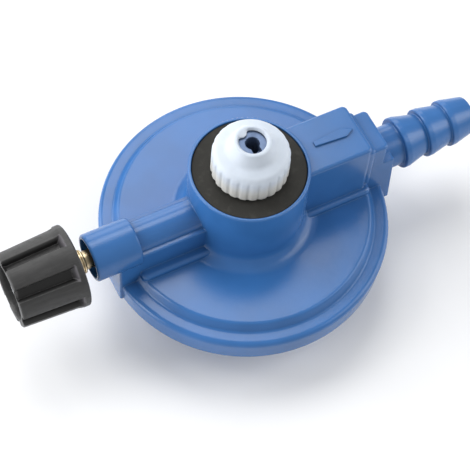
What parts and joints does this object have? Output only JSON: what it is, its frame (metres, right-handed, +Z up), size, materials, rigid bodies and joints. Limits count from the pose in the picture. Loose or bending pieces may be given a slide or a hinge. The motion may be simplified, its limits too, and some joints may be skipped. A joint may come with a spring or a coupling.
{
  "type": "low-pressure gas regulator",
  "caption": "Low-pressure gas regulator with a screw-on inlet stud under a protective cap, a tap with a fluted knob and a ridged hose nozzle.",
  "frame": {"origin": "centre of the flat end face of the cover that the regulator lies on, on the axis of the boss and the inlet stud", "axes": "+Z up along the inlet stud, +X towards the hose nozzle, with the tap knob at -X"},
  "size_m": [0.1477, 0.0848, 0.0597],
  "materials": {
    "blue_paint": "satin enamel over zinc die casting",
    "black_rubber": "matt",
    "white_plastic": "soft, slightly translucent polyethylene",
    "black_plastic": "moulded, satin",
    "brass": "turned",
    "plated_steel": "zinc or nickel plated",
    "grey_zinc": "plated, dull"
  },
  "bodies": {
    "root": {"body": "blue_paint", "cover": "blue_paint", "diaphragm": "black_rubber", "main_spring": "plated_steel", "adjusting_plug": "brass", "seal_plug": "black_plastic", "lever_pin": "plated_steel", "jet": "brass", "inlet_gasket": "black_rubber", "inlet_filter": "brass", "inlet_probe": "grey_zinc", "tap_gland": "brass", "tap_oring": "black_rubber"},
    "cap": {"inlet_cap": "white_plastic"},
    "tap_carrier": {"tap_pad": "black_rubber"},
    "tap": {"tap_spindle": "brass", "tap_knob": "black_plastic", "knob_screw": "plated_steel"},
    "diaphragm_centre": {"diaphragm_plate": "plated_steel", "diaphragm_stem": "brass", "stem_nut": "plated_steel"},
    "valve_lever": {"lever": "plated_steel", "valve_pad": "black_rubber"}
  },
  "joints": [
    {"name": "lift_cap", "type": "slide", "parent": "root", "child": "cap", "axis": [0, 0, 1], "range_m": [0, 0.035]},
    {"name": "tap_travel", "type": "slide", "parent": "root", "child": "tap_carrier", "axis": [-1, 0, 0], "range_m": [0, 0.0015]},
    {"name": "tap_turn", "type": "hinge", "parent": "tap_carrier", "child": "tap", "pos_m": [0, 0, 0.0315], "axis": [-1, 0, 0], "range_deg": [0, 540]},
    {"name": "diaphragm_travel", "type": "slide", "parent": "root", "child": "diaphragm_centre", "axis": [0, 0, -1], "range_m": [0, 0.0024], "stiffness_N_per_m": 1500, "springref_m": -0.005, "deforming": ["main_spring", "diaphragm"]},
    {"name": "lever_swing", "type": "hinge", "parent": "root", "child": "valve_lever", "pos_m": [-0.008, 0, 0.0194], "axis": [0, 1, 0], "range_deg": [0, 17.2]}
  ],
  "couplings": [
    {"joint": "tap_turn", "follows": "tap_travel", "rad_per_m": 6283.2},
    {"joint": "lever_swing", "follows": "diaphragm_travel", "rad_per_m": 125}
  ]
}
